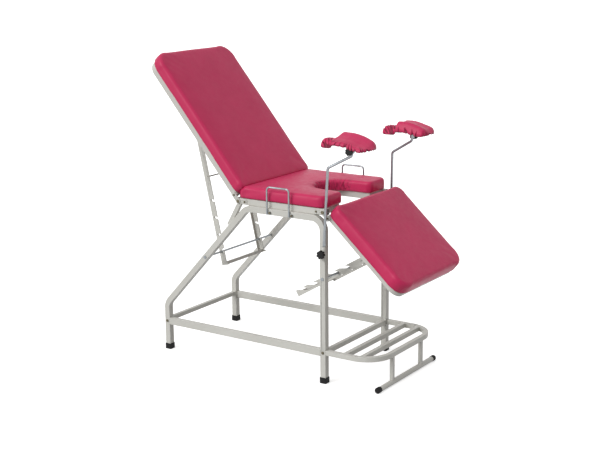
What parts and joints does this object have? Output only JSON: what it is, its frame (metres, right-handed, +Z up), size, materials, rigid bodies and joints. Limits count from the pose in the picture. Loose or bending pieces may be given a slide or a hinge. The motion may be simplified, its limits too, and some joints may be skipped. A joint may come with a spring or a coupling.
{
  "type": "gynaecological examination table",
  "caption": "Padded examination table on a bent-tube frame with a U cut-out seat, ratchet backrest and leg section, swivelling leg rests, hand grips and a step.",
  "frame": {"origin": "on the floor, under the middle of the table's length and width", "axes": "+X to the foot end, +Y to the side that is far from the camera in the picture, +Z up"},
  "size_m": [1.3742, 0.6772, 1.4164],
  "materials": {
    "frame_paint": "off-white powder coat, satin",
    "zinc": "zinc-plated, satin",
    "bolt_steel": "darkened zinc",
    "black_plastic": "moulded, satin",
    "cap_rubber": "moulded, matt",
    "plywood": "bare plywood",
    "vinyl": "soft coated vinyl, satin"
  },
  "bodies": {
    "frame": {"near_side_frame": "frame_paint", "far_side_frame": "frame_paint", "lower_rails": "frame_paint", "rear_cross_tube": "frame_paint", "front_cross_tube": "frame_paint", "step_frame": "frame_paint", "step_slats": "frame_paint", "step_posts": "frame_paint", "foot_bar": "frame_paint", "foot_bar_caps": "cap_rubber", "leg_caps": "cap_rubber", "rail_bolts": "bolt_steel", "seat_frame": "frame_paint", "seat_board": "plywood", "seat_cushion": "vinyl", "seat_hinge_leaves": "frame_paint", "seat_screws": "bolt_steel", "hinge_pins": "bolt_steel", "braces": "frame_paint", "near_hand_grip": "zinc", "far_hand_grip": "zinc", "grip_bolts": "bolt_steel", "back_ratchet_rod": "zinc", "leg_ratchet_rod": "zinc", "stirrup_sockets": "frame_paint"},
    "near_clamp_knob": {"near_clamp_knob": "black_plastic"},
    "far_clamp_knob": {"far_clamp_knob": "black_plastic"},
    "backrest": {"back_frame": "frame_paint", "back_board": "plywood", "back_cushion": "vinyl", "back_hinge_leaves": "frame_paint", "back_screws": "bolt_steel", "back_strut_lugs": "zinc"},
    "back_struts": {"near_back_strut": "frame_paint", "far_back_strut": "frame_paint", "back_strut_tie": "bolt_steel", "back_strut_bar": "frame_paint"},
    "leg_section": {"leg_frame": "frame_paint", "leg_board": "plywood", "leg_cushion": "vinyl", "leg_hinge_leaves": "frame_paint", "leg_screws": "bolt_steel", "leg_strut_lugs": "zinc"},
    "leg_struts": {"near_leg_strut": "frame_paint", "far_leg_strut": "frame_paint", "leg_strut_bar": "frame_paint"},
    "near_rod_plug": {"near_rod_plug": "zinc"},
    "near_stirrup_rod": {"near_stirrup_rod": "zinc"},
    "near_rest": {"near_rest_sleeve": "zinc", "near_rest_pad": "vinyl"},
    "near_rest_knob": {"near_rest_knob": "black_plastic"},
    "far_rod_plug": {"far_rod_plug": "zinc"},
    "far_stirrup_rod": {"far_stirrup_rod": "zinc"},
    "far_rest": {"far_rest_sleeve": "zinc", "far_rest_pad": "vinyl"},
    "far_rest_knob": {"far_rest_knob": "black_plastic"}
  },
  "joints": [
    {"name": "backrest_tilt", "type": "hinge", "parent": "frame", "child": "backrest", "pos_m": [-0.17047, 0, 0.7785], "axis": [0, 1, 0], "range_deg": [-50, 0]},
    {"name": "back_strut_swing", "type": "hinge", "parent": "backrest", "child": "back_struts", "pos_m": [-0.51025, 0, 1.1461], "axis": [0, 1, 0], "range_deg": [0, 46]},
    {"name": "leg_section_tilt", "type": "hinge", "parent": "frame", "child": "leg_section", "pos_m": [0.28453, 0, 0.7785], "axis": [0, 1, 0], "range_deg": [-52, 0]},
    {"name": "leg_strut_swing", "type": "hinge", "parent": "leg_section", "child": "leg_struts", "pos_m": [0.46451, 0, 0.58684], "axis": [0, 1, 0], "range_deg": [0, 11]},
    {"name": "near_rest_height", "type": "slide", "parent": "frame", "child": "near_rod_plug", "axis": [0.0593, 0, 0.9982], "range_m": [-0.1, 0.015]},
    {"name": "near_rod_swivel", "type": "hinge", "parent": "near_rod_plug", "child": "near_stirrup_rod", "pos_m": [0.30153, -0.29, 0.601], "axis": [0.0593, 0, 0.9982], "continuous": true},
    {"name": "near_pad_swivel", "type": "hinge", "parent": "near_stirrup_rod", "child": "near_rest", "pos_m": [0.43822, -0.27659, 1.0607], "axis": [0.0593, 0, 0.9982], "continuous": true},
    {"name": "near_clamp_turn", "type": "hinge", "parent": "frame", "child": "near_clamp_knob", "pos_m": [0.30153, -0.315, 0.601], "axis": [0, 1, 0], "continuous": true},
    {"name": "near_rest_clamp_turn", "type": "hinge", "parent": "near_rest", "child": "near_rest_knob", "pos_m": [0.43822, -0.30159, 1.0607], "axis": [0, 1, 0], "continuous": true},
    {"name": "far_rest_height", "type": "slide", "parent": "frame", "child": "far_rod_plug", "axis": [0.0175, 0, 0.9998], "range_m": [-0.1, 0.015]},
    {"name": "far_rod_swivel", "type": "hinge", "parent": "far_rod_plug", "child": "far_stirrup_rod", "pos_m": [0.30153, 0.29, 0.601], "axis": [0.0175, 0, 0.9998], "continuous": true},
    {"name": "far_pad_swivel", "type": "hinge", "parent": "far_stirrup_rod", "child": "far_rest", "pos_m": [0.41853, 0.27659, 1.04803], "axis": [0.0175, 0, 0.9998], "continuous": true},
    {"name": "far_clamp_turn", "type": "hinge", "parent": "frame", "child": "far_clamp_knob", "pos_m": [0.30153, 0.315, 0.601], "axis": [0, 1, 0], "continuous": true},
    {"name": "far_rest_clamp_turn", "type": "hinge", "parent": "far_rest", "child": "far_rest_knob", "pos_m": [0.41853, 0.30159, 1.04803], "axis": [0, 1, 0], "continuous": true}
  ],
  "couplings": [
    {"joint": "back_strut_swing", "follows": "backrest_tilt", "ratio": -0.9},
    {"joint": "leg_strut_swing", "follows": "leg_section_tilt", "ratio": -0.2}
  ]
}
